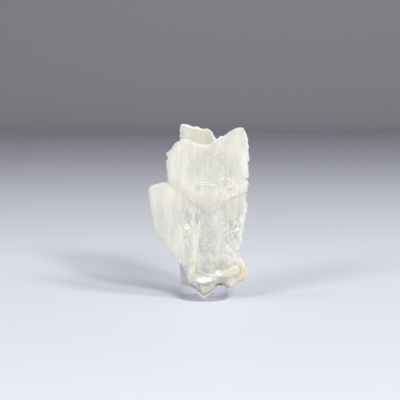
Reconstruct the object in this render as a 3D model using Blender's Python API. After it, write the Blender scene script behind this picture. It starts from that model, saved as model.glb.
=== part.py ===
"""A selenite blade resting on a clear acrylic stand.

The stone is one natural piece: thin cleavage plates that grew on one another, each with its own
ragged outline, striated along the stone's length and chipped at its rim. The plates overlap and
are joined in one solid. The stand is a stub of clear rod, cut down in front to a low shelf with a
V-groove that holds the stone's tip, and left high behind as a back rest.

Metres, +Z up. The origin is the centre of the stand's underside and the stone faces -Y.
"""

import math
import random

import bmesh
import bpy
from mathutils import Matrix, Vector

MM = 0.001

# The stand: a stub of one-inch rod.
ROD_RADIUS = 12.7 * MM
ROD_HEIGHT = 17.6 * MM
ROD_SIDES = 96
ROD_CHAMFER = 0.3 * MM
SHELF_HEIGHT = 7.2 * MM
GROOVE_BOTTOM = 1.5 * MM
GROOVE_HALF_WIDTH = 6.95 * MM
GROOVE_RELIEF = 0.6 * MM

# How the stone sits: it leans back on the rest, its middle plane ahead of the rod's centre.
LEAN = math.radians(4.0)
SEAT_Y = -6.3 * MM
SEAT_GAP = 0.3 * MM

# The stone's plates, as outlines in millimetres: across the stone, then up from the floor.
UPPER = [
    (-12.2, 83.9), (-10.3, 84.5), (-8.0, 83.7), (-4.2, 82.4), (-0.4, 81.3), (2.4, 81.6),
    (5.8, 83.8), (7.7, 85.2), (10.3, 85.8), (14.0, 88.0), (17.8, 90.0), (19.8, 89.8),
    (21.7, 87.0), (22.3, 83.4), (23.0, 79.4), (23.4, 75.0), (22.9, 71.3), (22.9, 67.6),
    (23.2, 64.8), (21.6, 63.1), (22.9, 61.8), (22.4, 56.4), (19.3, 56.6), (16.9, 56.9),
    (14.0, 55.3), (11.7, 53.5), (9.0, 52.1), (6.9, 49.8), (4.1, 48.6), (2.0, 47.9),
    (-0.7, 49.3), (-3.3, 51.4), (-6.9, 53.5), (-10.4, 56.3), (-12.7, 58.7), (-15.9, 60.7),
    (-19.0, 62.3), (-19.7, 64.9), (-19.1, 66.3), (-19.6, 70.3), (-19.8, 72.6), (-18.9, 74.1),
    (-19.9, 75.9), (-19.4, 77.1), (-17.2, 79.2), (-16.3, 80.7), (-14.1, 82.3),
]
UPPER_LEFT = [
    (-11.4, 82.6), (-9.0, 82.6), (-7.2, 79.2), (-7.9, 73.9), (-6.9, 68.7), (-7.5, 63.5),
    (-6.7, 58.2), (-7.9, 55.6), (-10.4, 57.6), (-13.2, 60.2), (-16.1, 62.2), (-18.1, 63.9),
    (-18.5, 68.7), (-18.7, 72.4), (-18.1, 74.5), (-18.4, 76.3), (-16.0, 79.2), (-13.8, 81.3),
]
MAIN = [
    (-27.6, 60.0), (-29.1, 58.0), (-29.3, 56.3), (-28.6, 51.9), (-28.0, 47.6), (-27.4, 43.2),
    (-26.6, 38.8), (-24.9, 36.0), (-23.0, 33.2), (-21.0, 30.5), (-18.8, 27.5), (-17.1, 24.5),
    (-15.3, 22.3), (-12.7, 19.3), (-10.7, 17.1), (-9.9, 14.8), (-9.1, 12.1), (-8.3, 9.7),
    (-6.6, 8.6), (-3.8, 8.5), (-1.4, 7.7), (0.9, 7.9), (6.7, 10.0), (10.3, 11.0), (14.0, 11.6),
    (18.9, 12.9), (18.7, 19.2), (18.4, 23.6), (20.0, 29.4), (19.8, 33.6), (20.9, 37.1),
    (21.0, 40.6), (21.8, 45.4), (22.6, 48.5), (22.0, 51.9), (22.2, 56.1), (20.6, 63.1),
    (21.6, 65.6), (21.6, 75.0), (20.5, 82.8), (18.5, 87.3), (14.0, 85.2), (9.3, 83.1),
    (5.1, 81.3), (1.4, 79.2), (-2.8, 79.4), (-7.5, 81.5), (-11.7, 82.2), (-14.8, 79.7),
    (-17.7, 76.6), (-17.8, 64.5), (-18.7, 62.1), (-23.2, 61.2),
]
LEFT = [
    (-9.0, 59.3), (-14.8, 64.0), (-19.5, 61.2), (-23.2, 60.4), (-26.8, 59.1), (-28.2, 57.5),
    (-28.3, 56.1), (-27.8, 51.9), (-27.1, 47.6), (-26.4, 43.2), (-25.6, 39.4), (-23.9, 36.5),
    (-22.0, 33.7), (-20.0, 31.1), (-17.9, 28.0), (-16.1, 25.2), (-14.3, 23.0), (-12.1, 20.4),
    (-10.4, 18.6), (-10.1, 25.7), (-10.5, 33.1), (-10.1, 40.4), (-10.5, 47.7),
]
MIDDLE = [
    (-11.0, 60.3), (1.4, 53.0), (-0.9, 48.8), (-1.9, 44.6), (-1.5, 40.4), (-1.8, 36.7),
    (-2.3, 32.0), (-2.8, 27.8), (-3.5, 21.5), (-4.3, 14.2), (-7.5, 12.1), (-8.9, 14.5),
    (-11.1, 19.4),
]
RIGHT = [
    (-5.4, 57.2), (21.1, 59.3), (22.0, 56.1), (21.6, 51.9), (22.2, 48.5), (21.4, 45.4),
    (20.6, 40.6), (20.5, 37.1), (19.4, 33.6), (19.6, 29.4), (18.0, 23.6), (18.3, 19.5),
    (15.1, 17.9), (11.4, 17.2), (10.3, 19.7), (6.5, 23.4), (2.2, 26.8), (-1.3, 28.9),
    (-4.3, 31.5),
]
RIGHT_RIM = [
    (10.6, 59.3), (20.7, 59.3), (21.5, 56.1), (21.1, 51.9), (21.7, 48.5), (20.8, 45.4),
    (20.0, 40.6), (19.9, 37.1), (18.8, 33.6), (19.0, 29.4), (17.5, 24.0), (17.7, 20.3),
    (15.1, 18.7), (11.9, 18.4), (11.1, 22.6), (10.5, 28.3), (11.1, 36.2), (10.5, 45.6),
]
FOOT = [
    (-9.2, 14.7), (-8.6, 12.1), (-7.6, 10.2), (-6.4, 9.3), (-3.8, 9.2), (-1.4, 8.3), (0.9, 8.5),
    (3.5, 9.6), (6.7, 10.8), (10.3, 11.8), (14.0, 12.4), (18.3, 13.8), (18.2, 18.4),
    (14.5, 17.1), (11.4, 16.1), (8.8, 13.9), (4.6, 13.4), (0.4, 14.2), (-3.3, 16.3),
    (-7.5, 16.3),
]
BACK = [
    (-12.5, 82.8), (-12.9, 88.9), (-12.3, 91.5), (-10.6, 92.1), (-6.7, 90.8), (-1.2, 89.9),
    (2.2, 89.5), (3.7, 88.2), (5.0, 85.7), (7.0, 82.8), (11.4, 81.8), (16.6, 83.6),
    (19.0, 81.3), (20.3, 75.0), (20.2, 67.6), (19.6, 57.2), (19.2, 46.7), (17.7, 35.2),
    (17.0, 25.7), (18.9, 22.7), (20.5, 21.4), (21.8, 18.1), (23.1, 14.9), (22.9, 12.6),
    (21.4, 10.5), (18.7, 9.9), (16.9, 8.5), (15.0, 6.2), (13.7, 6.0), (12.9, 7.8), (10.3, 8.2),
    (6.7, 8.3), (4.1, 7.9), (0.9, 6.3), (-1.7, 7.1), (-4.3, 9.7), (-7.7, 13.2), (-10.1, 17.6),
    (-13.2, 22.5), (-16.9, 27.7), (-20.6, 33.3), (-24.2, 38.5), (-25.3, 45.6), (-26.0, 53.0),
    (-24.8, 57.2), (-20.6, 58.7), (-16.6, 61.6), (-16.8, 67.6), (-17.2, 73.9), (-15.9, 77.9),
    (-13.3, 80.7),
]
REAR = [
    (-4.3, 72.9), (5.1, 75.5), (13.5, 73.9), (17.4, 69.7), (16.9, 60.3), (18.2, 51.9),
    (16.4, 40.4), (15.1, 31.0), (12.4, 24.7), (6.2, 22.1), (-0.7, 22.6), (-6.4, 25.2),
    (-10.6, 29.4), (-14.3, 35.2), (-12.7, 40.4), (-14.8, 45.6), (-12.2, 53.0), (-8.5, 59.3),
    (-9.0, 66.6),
]
TIP = [
    (-3.5, 9.8), (-2.8, 6.6), (-1.7, 4.7), (-1.2, 3.4), (0.2, 2.3), (1.6, 3.4), (3.4, 5.0),
    (5.6, 6.5), (7.2, 9.8),
]

# Each plate: its outline, where its front and back lie through the stone (mm, front negative),
# the width of its chipped rim (mm), and the seed of its ledges.
REST_FACE = 5.5
PLATES = [
    (MAIN, -2.2, 3.0, 0.8, 11),
    (UPPER, -5.1, -0.9, 1.0, 12),
    (UPPER_LEFT, -5.7, -2.0, 0.7, 13),
    (LEFT, -4.2, -1.1, 0.9, 14),
    (MIDDLE, -3.7, -0.6, 1.2, 15),
    (RIGHT, -3.1, 0.2, 0.9, 16),
    (RIGHT_RIM, -4.4, -0.3, 0.8, 17),
    (FOOT, -3.9, 1.2, 0.5, 18),
    (BACK, 1.3, REST_FACE, 1.0, 19),
    (REAR, 3.9, 7.2, 0.8, 20),
    (TIP, -0.9, 3.4, 0.6, 21),
]
LEDGE_PITCH = (1.6, 4.6)
LEDGE_RISE = (0.12, 0.42)
LEDGE_RISER = 0.16
SHORT_EDGE_SHARE = 0.45


def clear_scene():
    for thing in list(bpy.data.objects):
        bpy.data.objects.remove(thing, do_unlink=True)


def principled(name, colour, roughness, ior, transmission):
    """A Principled material with a see-through share."""
    made = bpy.data.materials.new(name)
    made.use_nodes = True
    shader = made.node_tree.nodes["Principled BSDF"]
    shader.inputs["Base Color"].default_value = (*colour, 1.0)
    shader.inputs["Roughness"].default_value = roughness
    shader.inputs["Metallic"].default_value = 0.0
    shader.inputs["IOR"].default_value = ior
    shader.inputs["Transmission Weight"].default_value = transmission
    made.diffuse_color = (*colour, 1.0)
    return made


def object_from(name, build):
    """An object whose mesh is what build() returns as a bmesh, with its faces pointing out."""
    built = build()
    bmesh.ops.recalc_face_normals(built, faces=built.faces)
    mesh = bpy.data.meshes.new(name)
    built.to_mesh(mesh)
    built.free()
    made = bpy.data.objects.new(name, mesh)
    bpy.context.scene.collection.objects.link(made)
    return made


def through_rings(rings):
    """A closed solid through rings of as many points each, the first and last ones capped."""
    built = bmesh.new()
    loops = [[built.verts.new(point) for point in ring] for ring in rings]
    count = len(loops[0])
    sides = []
    for low, high in zip(loops, loops[1:]):
        for here in range(count):
            after = (here + 1) % count
            sides.append(built.faces.new((low[here], low[after], high[after], high[here])))
    bmesh.ops.triangulate(built, faces=sides)
    built.faces.new(loops[0])
    built.faces.new(loops[-1])
    return built


def combine(target, other, operation):
    """Joins or cuts target with other, which is used up."""
    modifier = target.modifiers.new(operation.title(), "BOOLEAN")
    modifier.operation = operation
    modifier.solver = "EXACT"
    modifier.object = other
    graph = bpy.context.evaluated_depsgraph_get()
    joined = bpy.data.meshes.new_from_object(target.evaluated_get(graph))
    target.modifiers.clear()
    target.data = joined
    bpy.data.objects.remove(other, do_unlink=True)


def inset(outline, by):
    """The outline moved inwards, each corner along its own mitre, and less where its edges are short."""
    corners = [Vector(point) for point in outline]
    turn = sum(a.x * b.y - b.x * a.y for a, b in zip(corners, corners[1:] + corners[:1]))
    side = math.copysign(1.0, turn)
    moved = []
    for index, corner in enumerate(corners):
        before = corner - corners[index - 1]
        after = corners[(index + 1) % len(corners)] - corner
        most = SHORT_EDGE_SHARE * min(before.length, after.length)
        mitre = (before.normalized() + after.normalized()).orthogonal() * side
        reach = by / max(mitre.length / 2, 0.6)
        moved.append(corner + mitre.normalized() * min(reach, most))
    return moved


def rimmed_prism(outline, front, back, rim):
    """The outline as a block through the stone, its front and back rims broken to a slope."""
    past = rim / 2
    narrow = inset(outline, rim + past)
    rings = [
        (front - past, narrow), (front + rim, outline), (back - rim, outline), (back + past, narrow),
    ]
    return through_rings(
        [[(x * MM, depth * MM, z * MM) for x, z in ring] for depth, ring in rings]
    )


def ledges(start, end, level, sign, chance):
    """A face's section across the stone: flats that tilt a little, parted by small risers."""
    points = []
    x = start
    rise = level
    while x < end:
        after = min(x + chance.uniform(*LEDGE_PITCH), end + 1.0)
        points.append((x, rise))
        points.append((after - LEDGE_RISER, rise + sign * chance.uniform(0.0, 0.1)))
        rise = level + sign * chance.uniform(*LEDGE_RISE)
        x = after
    return points


def striated_slab(outline, front, back, seed):
    """A slab over the outline whose two broad faces carry ledges along the stone's length."""
    chance = random.Random(seed)
    left = min(x for x, _ in outline) - 2.0
    right = max(x for x, _ in outline) + 2.0
    low = min(z for _, z in outline) - 2.0
    high = max(z for _, z in outline) + 2.0
    near = ledges(left, right, front, 1.0, chance)
    far = ledges(left, right, back, -1.0, chance)
    section = near + far[::-1]
    return through_rings([[(x * MM, y * MM, z * MM) for x, y in section] for z in (low, high)])


def plate(name, outline, front, back, rim, seed):
    made = object_from(name, lambda: rimmed_prism(outline, front, back, rim))
    slab = object_from(name + "_slab", lambda: striated_slab(outline, front, back, seed))
    combine(made, slab, "INTERSECT")
    return made


def leaning():
    """From the stone's own upright frame to its place on the stand."""
    return Matrix.Translation((0.0, SEAT_Y, 0.0)) @ Matrix.Rotation(-LEAN, 4, "X")


def selenite_blade():
    stone = None
    for index, (outline, front, back, rim, seed) in enumerate(PLATES):
        next_plate = plate(f"plate_{index}", outline, front, back, rim, seed)
        if stone is None:
            stone = next_plate
        else:
            combine(stone, next_plate, "UNION")
    stone.name = "selenite_blade"
    stone.data.name = "selenite_blade"
    stone.data.transform(leaning())
    stone.data.materials.clear()
    stone.data.materials.append(principled("selenite", (0.86, 0.84, 0.78), 0.3, 1.52, 0.4))
    return stone


def rest_y(z):
    """Where the back rest's sloping face is at height z: the stone's back, plus the gap."""
    depth = (REST_FACE * MM) + SEAT_GAP
    up = (z + depth * math.sin(LEAN)) / math.cos(LEAN)
    return SEAT_Y + depth * math.cos(LEAN) + up * math.sin(LEAN)


def rod_stub():
    """The rod as a stack of rings, its two end rims broken."""
    inner = ROD_RADIUS - ROD_CHAMFER
    levels = [
        (inner, 0.0), (ROD_RADIUS, ROD_CHAMFER),
        (ROD_RADIUS, ROD_HEIGHT - ROD_CHAMFER), (inner, ROD_HEIGHT),
    ]
    angles = [2 * math.pi * step / ROD_SIDES for step in range(ROD_SIDES)]
    return through_rings(
        [[(r * math.cos(a), r * math.sin(a), z) for a in angles] for r, z in levels]
    )


def step_cutter():
    """What is cut from the rod above the shelf and in front of the back rest."""
    out = 2 * ROD_RADIUS
    top = ROD_HEIGHT + ROD_RADIUS
    section = [(-out, SHELF_HEIGHT), (rest_y(SHELF_HEIGHT), SHELF_HEIGHT), (rest_y(top), top), (-out, top)]
    return through_rings([[(x, y, z) for y, z in section] for x in (-out, out)])


def groove_cutter():
    """The V-groove, front to back, run a little into the foot of the rest."""
    out = 2 * ROD_RADIUS
    above = 0.5 * MM
    slope = GROOVE_HALF_WIDTH / (SHELF_HEIGHT - GROOVE_BOTTOM)
    half = slope * (SHELF_HEIGHT + above - GROOVE_BOTTOM)
    section = [(0.0, GROOVE_BOTTOM), (half, SHELF_HEIGHT + above), (-half, SHELF_HEIGHT + above)]
    end = rest_y(SHELF_HEIGHT) + GROOVE_RELIEF
    return through_rings([[(x, y, z) for x, z in section] for y in (-out, end)])


def acrylic_stand():
    stand = object_from("acrylic_stand", rod_stub)
    combine(stand, object_from("step_cutter", step_cutter), "DIFFERENCE")
    combine(stand, object_from("groove_cutter", groove_cutter), "DIFFERENCE")
    stand.data.materials.clear()
    stand.data.materials.append(principled("clear_acrylic", (0.93, 0.94, 0.97), 0.05, 1.49, 1.0))
    stand.data.shade_smooth()
    stand.data.set_sharp_from_angle(angle=math.radians(20))
    return stand


clear_scene()
selenite_blade()
acrylic_stand()
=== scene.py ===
# %% [markdown]
# # A selenite blade on a clear stand
# The specimen is one slab of natural selenite, a see-through kind of gypsum that splits into thin
# plates, standing on its tip in a stub of clear acrylic rod. This lesson dresses the plain solids of
# the part: it starts by loading them, because every later size and place is read from them or has
# to agree with them.

# %% Load the frame and keep its box
import math
import random
from functools import reduce

import bmesh
import bpy
from mathutils import Matrix, Vector, noise


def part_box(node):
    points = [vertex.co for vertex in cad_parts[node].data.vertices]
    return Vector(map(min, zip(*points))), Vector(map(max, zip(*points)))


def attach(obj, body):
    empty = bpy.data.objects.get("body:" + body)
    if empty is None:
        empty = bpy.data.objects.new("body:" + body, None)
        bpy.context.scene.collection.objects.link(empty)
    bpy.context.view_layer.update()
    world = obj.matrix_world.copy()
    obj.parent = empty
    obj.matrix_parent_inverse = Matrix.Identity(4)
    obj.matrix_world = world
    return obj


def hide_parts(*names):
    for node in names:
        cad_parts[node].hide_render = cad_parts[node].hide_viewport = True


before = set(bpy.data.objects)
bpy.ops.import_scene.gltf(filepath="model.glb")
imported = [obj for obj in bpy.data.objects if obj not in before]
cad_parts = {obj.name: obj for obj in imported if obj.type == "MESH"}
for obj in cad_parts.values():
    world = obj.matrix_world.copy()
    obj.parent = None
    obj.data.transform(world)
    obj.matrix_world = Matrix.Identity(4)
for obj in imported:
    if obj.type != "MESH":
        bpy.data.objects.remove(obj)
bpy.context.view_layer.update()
MM = 0.001
for node in ("selenite_blade", "acrylic_stand"):
    lowest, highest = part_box(node)
    print(node, [round(n / MM, 1) for n in highest - lowest], "mm")

# %% [markdown]
# ## The camera
# The specimen is seen from in front and a little above, through a long lens, which keeps the
# perspective of such a small thing gentle.

# %% Camera
CAMERA_PLACE = (-0.0022, -0.742, 0.138)
CAMERA_PITCH = math.radians(6.62)
FIELD_OF_VIEW = math.radians(16.0)
SENSOR = 36.0

scene = bpy.context.scene
lens = bpy.data.cameras.new("camera")
lens.sensor_width = SENSOR
lens.lens = SENSOR / 2 / math.tan(FIELD_OF_VIEW / 2)
camera = bpy.data.objects.new("camera", lens)
camera.location = CAMERA_PLACE
camera.rotation_euler = (math.pi / 2 - CAMERA_PITCH, 0.0, 0.0)
scene.collection.objects.link(camera)
scene.camera = camera
scene.view_settings.view_transform = "Standard"
print("lens", round(lens.lens, 1), "mm")

# %% [markdown]
# ## Helpers for node trees
# Materials and geometry trees are both made of nodes. One method makes a node: it takes the node's
# type, its settings, and what goes into its sockets. What it gives back can be used in Python sums,
# and each operator adds a Math node.


# %% Node trees written as Python
class Wire:
    """What comes out of a node. Python's operators on it add Math nodes."""

    def __init__(self, tree, socket):
        self.tree = tree
        self.socket = socket

    def maths(self, operation, *terms):
        return self.tree.node("ShaderNodeMath", {"operation": operation}, dict(enumerate(terms)))

    def __add__(self, other):
        return self.maths("ADD", self, other)

    def __sub__(self, other):
        return self.maths("SUBTRACT", self, other)

    def __mul__(self, other):
        return self.maths("MULTIPLY", self, other)

    def __truediv__(self, other):
        return self.maths("DIVIDE", self, other)

    def __pow__(self, other):
        return self.maths("POWER", self, other)

    def __rsub__(self, other):
        return self.maths("SUBTRACT", other, self)

    __radd__ = __add__
    __rmul__ = __mul__

    def floor(self):
        return self.maths("FLOOR", self)

    def least(self, other):
        return self.maths("MINIMUM", self, other)

    def most(self, other):
        return self.maths("MAXIMUM", self, other)

    def parts(self):
        """The X, Y and Z of what this wire carries."""
        apart = self.tree.add("ShaderNodeSeparateXYZ", {}, {0: self})
        return [Wire(self.tree, socket) for socket in apart.outputs]


class Tree:
    """A node tree that is built by calls."""

    def __init__(self, made):
        self.made = made

    def add(self, kind, settings=None, sockets=None):
        new = self.made.nodes.new(kind)
        for name, value in (settings or {}).items():
            setattr(new, name, value)
        for name, value in (sockets or {}).items():
            self.feed(new.inputs[name], value)
        return new

    def node(self, kind, settings=None, sockets=None, output=0):
        return Wire(self, self.add(kind, settings, sockets).outputs[output])

    def feed(self, socket, value):
        if isinstance(value, Wire):
            self.made.links.new(value.socket, socket)
        else:
            socket.default_value = value

    def mark(self, name):
        """The number that each face carries under this name."""
        return self.node("ShaderNodeAttribute", {"attribute_name": name}, {}, 2)


# %% [markdown]
# ## Meshes
# Every piece is a closed mesh in the frame's own coordinates. One helper lofts a solid through rings
# of points, and one keeps what a modifier does to a piece and takes the modifier off. It sets the
# inputs of a Geometry Nodes tree by their identifiers, because a name can be shared.


# %% Mesh helpers
def through_rings(name, rings, capped=True, unit=MM):
    """A mesh through rings of as many points each, closed at both ends if it is capped."""
    built = bmesh.new()
    loops = [[built.verts.new((x * unit, y * unit, z * unit)) for x, y, z in ring] for ring in rings]
    count = len(loops[0])
    sides = []
    for low, high in zip(loops, loops[1:]):
        for here in range(count if capped else count - 1):
            after = (here + 1) % count
            sides.append(built.faces.new((low[here], low[after], high[after], high[here])))
    if capped:
        bmesh.ops.triangulate(built, faces=sides)
        built.faces.new(loops[0])
        built.faces.new(loops[-1])
        bmesh.ops.recalc_face_normals(built, faces=built.faces)
    made = bpy.data.objects.new(name, bpy.data.meshes.new(name))
    built.to_mesh(made.data)
    built.free()
    scene.collection.objects.link(made)
    return made


def shape_by(thing, kind, settings, inputs=None):
    """Gives the thing the mesh that a modifier with these settings and inputs makes of it."""
    modifier = thing.modifiers.new(kind.lower(), kind)
    for name, value in settings.items():
        setattr(modifier, name, value)
    for name, value in (inputs or {}).items():
        for item in modifier.node_group.interface.items_tree:
            if item.name == name and item.in_out == "INPUT":
                modifier[item.identifier] = value
    graph = bpy.context.evaluated_depsgraph_get()
    mesh = bpy.data.meshes.new_from_object(thing.evaluated_get(graph))
    thing.modifiers.clear()
    thing.data = mesh


def discard(thing):
    bpy.data.objects.remove(thing, do_unlink=True)


# %% [markdown]
# ## The stone's plates
# Selenite splits into plates as thin as paper, and a broken slab shows the edges of many of them.
# So the stone is made as it grew: each plate has its outline, a front and a back face, and a
# chipped rim. Outlines are in millimetres, across and up from the floor.

# %% Outlines of the front plates
UPPER = [
    (-12.2, 83.9), (-10.3, 84.5), (-8, 83.7), (-4.2, 82.4), (-0.4, 81.3), (2.4, 81.6),
    (5.8, 83.8), (7.7, 85.2), (10.3, 85.8), (14, 88.3), (16.3, 89.6), (18.2, 90.2),
    (20.3, 90), (21.5, 88.2), (22.1, 85.6), (22.6, 83), (23, 79.4), (23.4, 75),
    (22.9, 71.3), (22.9, 67.6),
    (23.2, 64.8), (21.6, 63.1), (22.9, 61.8), (22.4, 56.4), (19.3, 56.6), (16.9, 56.9),
    (14, 55.3), (11.7, 53.5), (9, 52.1), (6.9, 49.8), (4.1, 48.6), (2, 47.9),
    (-0.7, 49.3), (-3.3, 51.4), (-6.9, 53.5), (-10.4, 56.3), (-12.7, 58.7), (-15.9, 60.7),
    (-19, 62.3), (-19.7, 64.9), (-19.1, 66.3), (-19.6, 70.3), (-19.8, 72.6), (-18.9, 74.1),
    (-19.9, 75.9), (-19.4, 77.1), (-17.2, 79.2), (-16.3, 80.7), (-14.1, 82.3),
]
UPPER_LEFT = [
    (-11.4, 82.6), (-9, 82.6), (-7.2, 79.2), (-7.9, 73.9), (-6.9, 68.7), (-7.5, 63.5),
    (-6.7, 58.2), (-7.9, 55.6), (-10.4, 57.6), (-13.2, 60.2), (-16.1, 62.2), (-18.1, 63.9),
    (-18.5, 68.7), (-18.7, 72.4), (-18.1, 74.5), (-18.4, 76.3), (-16, 79.2), (-13.8, 81.3),
]
MAIN = [
    (-27.6, 60), (-29.1, 58), (-29.3, 56.3), (-28.6, 51.9), (-28, 47.6), (-27.4, 43.2),
    (-26.6, 38.8), (-24.9, 36), (-23, 33.2), (-21, 30.5), (-18.8, 27.5), (-17.1, 24.5),
    (-15.3, 22.3), (-12.7, 19.3), (-10.7, 17.1), (-9.9, 14.8), (-9.1, 12.1), (-8.3, 9.7),
    (-6.6, 8.6), (-3.8, 8.5), (-1.4, 7.7), (0.9, 7.9), (6.7, 10), (10.3, 11), (14, 11.6),
    (18.9, 12.9), (18.7, 19.2), (18.4, 23.6), (20, 29.4), (19.8, 33.6), (20.9, 37.1),
    (21, 40.6), (21.8, 45.4), (22.6, 48.5), (22, 51.9), (22.2, 56.1), (20.6, 63.1),
    (21.6, 65.6), (21.6, 75), (20.5, 82.8), (18.5, 87.3), (14, 85.2), (9.3, 83.1),
    (5.1, 81.3), (1.4, 79.2), (-2.8, 79.4), (-7.5, 81.5), (-11.7, 82.2), (-14.8, 79.7),
    (-17.7, 76.6), (-17.8, 64.5), (-18.7, 62.1), (-23.2, 61.2),
]
LEFT = [
    (-9, 59.3), (-14.8, 64), (-19.5, 61.5), (-23.2, 60.8), (-27.3, 59.6), (-28.7, 57.8),
    (-28.9, 56.2), (-28.3, 51.9), (-27.6, 47.6), (-27, 43.2), (-26.2, 39), (-24.6, 36.2),
    (-22.7, 33.4), (-20.7, 30.7), (-18.5, 27.7), (-16.8, 24.8), (-14.9, 22.6), (-12.4, 19.7),
    (-10.6, 17.8), (-10.1, 25.7), (-10.5, 33.1), (-10.1, 40.4), (-10.5, 47.7),
]
MIDDLE = [
    (-14.4, 60.3), (1.4, 53), (-0.9, 48.8), (-1.9, 44.6), (-1.5, 40.4), (-1.8, 36.7),
    (-2.3, 32), (-2.8, 27.8), (-4, 21.5), (-5.1, 14.2), (-7.8, 12.1), (-8.9, 14.5),
    (-11.1, 19.4), (-13, 23.6), (-14.2, 28),
]
RIGHT = [
    (-5.4, 57.2), (21.1, 59.3), (22, 56.1), (21.6, 51.9), (22.2, 48.5), (21.4, 45.4),
    (20.6, 40.6), (20.5, 37.1), (19.4, 33.6), (19.6, 29.4), (18, 23.6), (18.3, 19.5),
    (15.1, 17.9), (11.4, 17.2), (10.3, 19.7), (6.5, 23.4), (2.2, 26.8), (-1.3, 28.9),
    (-4.3, 31.5),
]
RIGHT_RIM = [
    (10.6, 59.3), (20.7, 59.3), (21.5, 56.1), (21.1, 51.9), (21.7, 48.5), (20.8, 45.4),
    (20, 40.6), (19.9, 37.1), (18.8, 33.6), (19, 29.4), (17.5, 24), (17.7, 20.3),
    (15.1, 18.7), (11.9, 18.4), (11.1, 22.6), (10.5, 28.3), (11.1, 36.2), (10.5, 45.6),
]
FOOT = [
    (-9.2, 14.7), (-8.6, 12.1), (-7.6, 10.2), (-6.4, 9.3), (-3.8, 9.2), (-1.4, 8.3), (0.9, 8.5),
    (3.5, 9.6), (6.7, 10.8), (10.3, 11.8), (14, 12.4), (18.3, 13.8), (18.2, 18.4),
    (14.5, 17.1), (11.4, 16.1), (8.8, 13.9), (4.6, 13.4), (0.4, 14.2), (-3.3, 16.3),
    (-7.5, 16.3),
]
print("corners", [len(row) for row in (UPPER, UPPER_LEFT, MAIN, LEFT, MIDDLE, RIGHT, RIGHT_RIM, FOOT)])

# %% [markdown]
# A wider plate lies behind. Its top shows where the others have broken away, and it carries the lump
# at the lower right, whose front gets a block of its own. The tip stands in the stand's groove.

# %% Outlines of the back plates, the lump and the tip
BACK = [
    (-12.5, 82.8), (-12.9, 88.9), (-12.3, 91.5), (-10.6, 92.1), (-6.7, 90.8), (-1.2, 89.9),
    (2.2, 89.5), (3.7, 88.2), (5, 85.7), (7, 82.8), (11.4, 81.8), (16.6, 83.6),
    (19, 81.3), (20.3, 75), (20.2, 67.6), (19.6, 57.2), (19.2, 46.7), (17.7, 35.2),
    (17, 25.7), (18.9, 22.7), (20.5, 21.4), (22, 18.1), (23.1, 14.9), (22.8, 12.2),
    (21.5, 10.1), (19, 8.9), (17.1, 7.4), (15, 5.7), (13.2, 5.7), (11.9, 6.9), (10.3, 7.8),
    (6.7, 8.3), (4.1, 7.9), (0.9, 6.3), (-1.7, 7.1), (-4.3, 9.7), (-7.7, 13.2), (-10.1, 17.6),
    (-13.2, 22.5), (-16.9, 27.7), (-20.6, 33.3), (-24.2, 38.5), (-25.3, 45.6), (-26, 53),
    (-24.8, 57.2), (-20.6, 58.7), (-16.6, 61.6), (-16.8, 67.6), (-17.2, 73.9), (-15.9, 77.9),
    (-13.3, 80.7),
]
REAR = [
    (-8.5, 71.4), (-5.6, 73.4), (-1.2, 74.2), (1, 72.6), (5, 75.5), (9.8, 74.4), (13.2, 75.2),
    (14.6, 71), (14.1, 60), (15.3, 48), (14.7, 36), (13, 31), (9.9, 28.6), (8.9, 24.2),
    (4.6, 22.2), (1.4, 25), (-3.3, 23.4), (-6.9, 28.3), (-10.9, 31), (-12.3, 40.4),
    (-11.5, 53), (-12.2, 62), (-10.2, 66.2),
]
LUMP = [
    (2, 9.4), (4.6, 8.4), (7, 8.7), (10.5, 8.2), (12.2, 7.3), (13.4, 6.1), (15, 6), (17, 7.7),
    (18.9, 9.2), (21.2, 10.4), (22.5, 12.4), (22.8, 14.9), (21.7, 17.9), (20.2, 21), (17.4, 24),
    (10, 20), (3, 14),
]
TIP = [
    (-3.5, 9.8), (-2.8, 6.6), (-1.7, 4.7), (-1.2, 3.4), (0.2, 2.3), (1.6, 3.4), (3.4, 5),
    (5.6, 6.5), (7.2, 9.8),
]
print("corners", [len(row) for row in (BACK, REAR, LUMP, TIP)])

# %% [markdown]
# Each plate also needs its depth in the stone, the width of its broken rim and the ribbing of its
# faces. The upper plate ends downward in a V, where three thin leaves come out.

# %% How the plates lie
# Outline, front and back through the stone (front negative), rim width, ledge pitch and ledge rise,
# all in millimetres, then the seed, and whether the plate is stained.
PLATES = [
    (MAIN, -2.2, 3, 0.5, 1.3, 0.14, 11, False),
    (UPPER, -4.78, -0.9, 0.7, 1.1, 0.11, 12, False),
    (UPPER_LEFT, -4.88, -2, 0.3, 1.7, 0.06, 13, False),
    (LEFT, -4.25, -1.1, 0.45, 1.2, 0.10, 14, False),
    (MIDDLE, -3.95, -0.6, 0.8, 0.8, 0.16, 15, False),
    (RIGHT, -3.45, 0.2, 1.1, 1, 0.13, 16, False),
    (RIGHT_RIM, -3.8, -0.3, 0.5, 0.6, 0.2, 17, False),
    (FOOT, -4.2, 1.2, 0.5, 0.8, 0.18, 18, False),
    (BACK, 1.3, 5.5, 1, 1.4, 0.18, 19, True),
    (REAR, 3.9, 7.2, 0.8, 1.2, 0.18, 20, True),
    (LUMP, -1.4, 4.2, 1.3, 1.5, 0.16, 22, True),
    (TIP, -0.9, 3.4, 0.6, 0.7, 0.12, 21, True),
]
# The V along the upper plate's lower edge.
V_EDGE = [
    (-18.6, 62.6), (-15.7, 60.7), (-12.6, 58.4), (-10.3, 56.2), (-7.2, 53.8), (-3.4, 51.4),
    (-0.3, 49.2), (2, 48), (5.5, 49.4), (8.9, 52), (11.6, 53.5), (14, 55.3), (17.2, 56.8),
    (21.6, 56.6),
]
# Each leaf: its drop below that edge, its front and back (mm), and its seed.
V_LEAVES = [(0.7, -4.62, -2.6, 31), (1.5, -4.45, -2.4, 32), (2.3, -4.22, -2.2, 33)]
print(len(PLATES), "plates and", len(V_LEAVES), "leaves under the V")

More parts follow.
